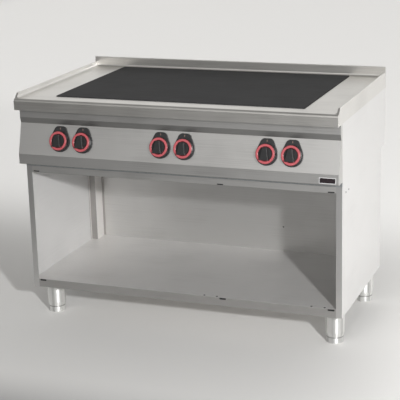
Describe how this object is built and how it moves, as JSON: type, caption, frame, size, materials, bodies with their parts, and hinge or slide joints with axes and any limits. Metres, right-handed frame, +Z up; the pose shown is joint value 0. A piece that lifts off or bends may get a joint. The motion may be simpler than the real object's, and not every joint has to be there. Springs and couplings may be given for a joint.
{
  "type": "electric range",
  "caption": "Free-standing commercial electric range: one full-width dark hot plate in a stainless worktop, leaning control fascia with black and red knobs, open stand on adjustable legs.",
  "frame": {"origin": "middle of the footprint, on the floor", "axes": "+X to the right seen from the front, +Y to the back, +Z up"},
  "size_m": [1.2, 0.7138, 0.894],
  "materials": {
    "worktop_steel": "satin brushed stainless sheet",
    "brushed_steel": "satin brushed stainless sheet",
    "bay_steel": "dull stainless sheet",
    "galvanised": "galvanised sheet",
    "plate_steel": "dark matte blued steel",
    "mild_steel": "plain mild steel",
    "zinc_steel": "zinc-plated steel",
    "element_sheath": "oxidised steel tube",
    "polished_steel": "polished stainless tube",
    "foot_steel": "polished stainless collar",
    "gasket_fibre": "woven glass fibre",
    "fibre_board": "matte ceramic fibre",
    "black_plastic": "satin black thermoset",
    "red_plastic": "glossy red",
    "switch_plastic": "matte thermoset",
    "loom_sleeve": "silicone sleeve",
    "brass": "plain brass"
  },
  "bodies": {
    "range_frame": {"worktop": "worktop_steel", "hot_plate": "plate_steel", "plate_frame": "mild_steel", "plate_gasket": "gasket_fibre", "heating_elements": "element_sheath", "clamp_bars": "mild_steel", "clamp_nuts": "zinc_steel", "insulation_board": "fibre_board", "heat_shield": "galvanised", "fascia": "brushed_steel", "upper_side_left": "brushed_steel", "upper_side_right": "brushed_steel", "upper_rear_panel": "galvanised", "upper_floor": "galvanised", "cabinet_side_left": "brushed_steel", "cabinet_side_right": "brushed_steel", "cabinet_back": "bay_steel", "cabinet_shelf": "brushed_steel", "top_rail": "brushed_steel", "rear_posts": "bay_steel", "base_channels": "galvanised", "rotary_switches": "switch_plastic", "switch_nuts": "zinc_steel", "terminal_block": "switch_plastic", "cable_gland": "black_plastic", "bonding_stud": "brass", "wiring_loom": "loom_sleeve", "frame_screws": "zinc_steel", "bezel_1": "black_plastic", "bezel_2": "black_plastic", "bezel_3": "black_plastic", "bezel_4": "black_plastic", "bezel_5": "black_plastic", "bezel_6": "black_plastic", "leg_1": "polished_steel", "leg_2": "polished_steel", "leg_3": "polished_steel", "leg_4": "polished_steel"},
    "control_1": {"knob_1": "black_plastic", "knob_ring_1": "red_plastic", "switch_shaft_1": "zinc_steel"},
    "control_2": {"knob_2": "black_plastic", "knob_ring_2": "red_plastic", "switch_shaft_2": "zinc_steel"},
    "control_3": {"knob_3": "black_plastic", "knob_ring_3": "red_plastic", "switch_shaft_3": "zinc_steel"},
    "control_4": {"knob_4": "black_plastic", "knob_ring_4": "red_plastic", "switch_shaft_4": "zinc_steel"},
    "control_5": {"knob_5": "black_plastic", "knob_ring_5": "red_plastic", "switch_shaft_5": "zinc_steel"},
    "control_6": {"knob_6": "black_plastic", "knob_ring_6": "red_plastic", "switch_shaft_6": "zinc_steel"},
    "adjuster_1": {"foot_1": "foot_steel"},
    "adjuster_2": {"foot_2": "foot_steel"},
    "adjuster_3": {"foot_3": "foot_steel"},
    "adjuster_4": {"foot_4": "foot_steel"}
  },
  "joints": [
    {"name": "knob_1_turn", "type": "hinge", "parent": "range_frame", "child": "control_1", "pos_m": [-0.435, -0.31656, 0.7023], "axis": [0, 0.9617, -0.2741], "range_deg": [0, 270]},
    {"name": "knob_2_turn", "type": "hinge", "parent": "range_frame", "child": "control_2", "pos_m": [-0.345, -0.31656, 0.7023], "axis": [0, 0.9617, -0.2741], "range_deg": [0, 270]},
    {"name": "knob_3_turn", "type": "hinge", "parent": "range_frame", "child": "control_3", "pos_m": [-0.045, -0.31656, 0.7023], "axis": [0, 0.9617, -0.2741], "range_deg": [0, 270]},
    {"name": "knob_4_turn", "type": "hinge", "parent": "range_frame", "child": "control_4", "pos_m": [0.045, -0.31656, 0.7023], "axis": [0, 0.9617, -0.2741], "range_deg": [0, 270]},
    {"name": "knob_5_turn", "type": "hinge", "parent": "range_frame", "child": "control_5", "pos_m": [0.345, -0.31656, 0.7023], "axis": [0, 0.9617, -0.2741], "range_deg": [0, 270]},
    {"name": "knob_6_turn", "type": "hinge", "parent": "range_frame", "child": "control_6", "pos_m": [0.435, -0.31656, 0.7023], "axis": [0, 0.9617, -0.2741], "range_deg": [0, 270]},
    {"name": "foot_1_adjust", "type": "slide", "parent": "range_frame", "child": "adjuster_1", "axis": [0, 0, -1], "range_m": [0, 0.03]},
    {"name": "foot_2_adjust", "type": "slide", "parent": "range_frame", "child": "adjuster_2", "axis": [0, 0, -1], "range_m": [0, 0.03]},
    {"name": "foot_3_adjust", "type": "slide", "parent": "range_frame", "child": "adjuster_3", "axis": [0, 0, -1], "range_m": [0, 0.03]},
    {"name": "foot_4_adjust", "type": "slide", "parent": "range_frame", "child": "adjuster_4", "axis": [0, 0, -1], "range_m": [0, 0.03]}
  ]
}
